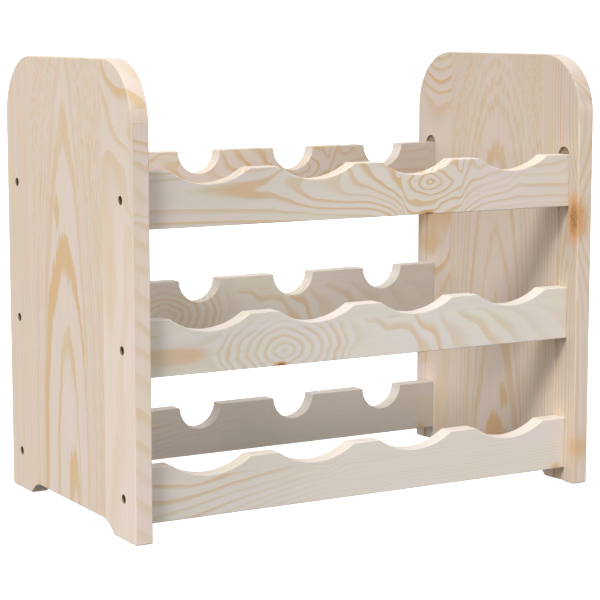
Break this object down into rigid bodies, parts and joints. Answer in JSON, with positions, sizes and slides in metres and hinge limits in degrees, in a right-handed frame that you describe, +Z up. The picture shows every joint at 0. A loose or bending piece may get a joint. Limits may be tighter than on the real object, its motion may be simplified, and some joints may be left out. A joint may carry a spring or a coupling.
{
  "type": "wine rack",
  "caption": "Free-standing tabletop wine rack in solid pine: two rounded side panels joined by notched front and rear rails in three tiers, screwed through the panels.",
  "frame": {"origin": "on the floor, under the centre of the rack's footprint", "axes": "+X along the rails to the right as seen from the front, +Y to the rear, +Z up"},
  "size_m": [0.44, 0.2516, 0.376],
  "materials": {
    "pine_panel": "sanded bare pine, edge-glued staves",
    "pine_rail": "sanded bare pine",
    "bronzed_steel": "dark bronze screw finish"
  },
  "bodies": {
    "root": {"left_side_panel": "pine_panel", "right_side_panel": "pine_panel", "front_rail_bottom": "pine_rail", "front_rail_middle": "pine_rail", "front_rail_top": "pine_rail", "rear_rail_bottom": "pine_rail", "rear_rail_middle": "pine_rail", "rear_rail_top": "pine_rail", "screw_left_front_bottom": "bronzed_steel", "screw_left_front_middle": "bronzed_steel", "screw_left_front_top": "bronzed_steel", "screw_left_rear_bottom": "bronzed_steel", "screw_left_rear_middle": "bronzed_steel", "screw_left_rear_top": "bronzed_steel", "screw_right_front_bottom": "bronzed_steel", "screw_right_front_middle": "bronzed_steel", "screw_right_front_top": "bronzed_steel", "screw_right_rear_bottom": "bronzed_steel", "screw_right_rear_middle": "bronzed_steel", "screw_right_rear_top": "bronzed_steel"}
  },
  "joints": []
}
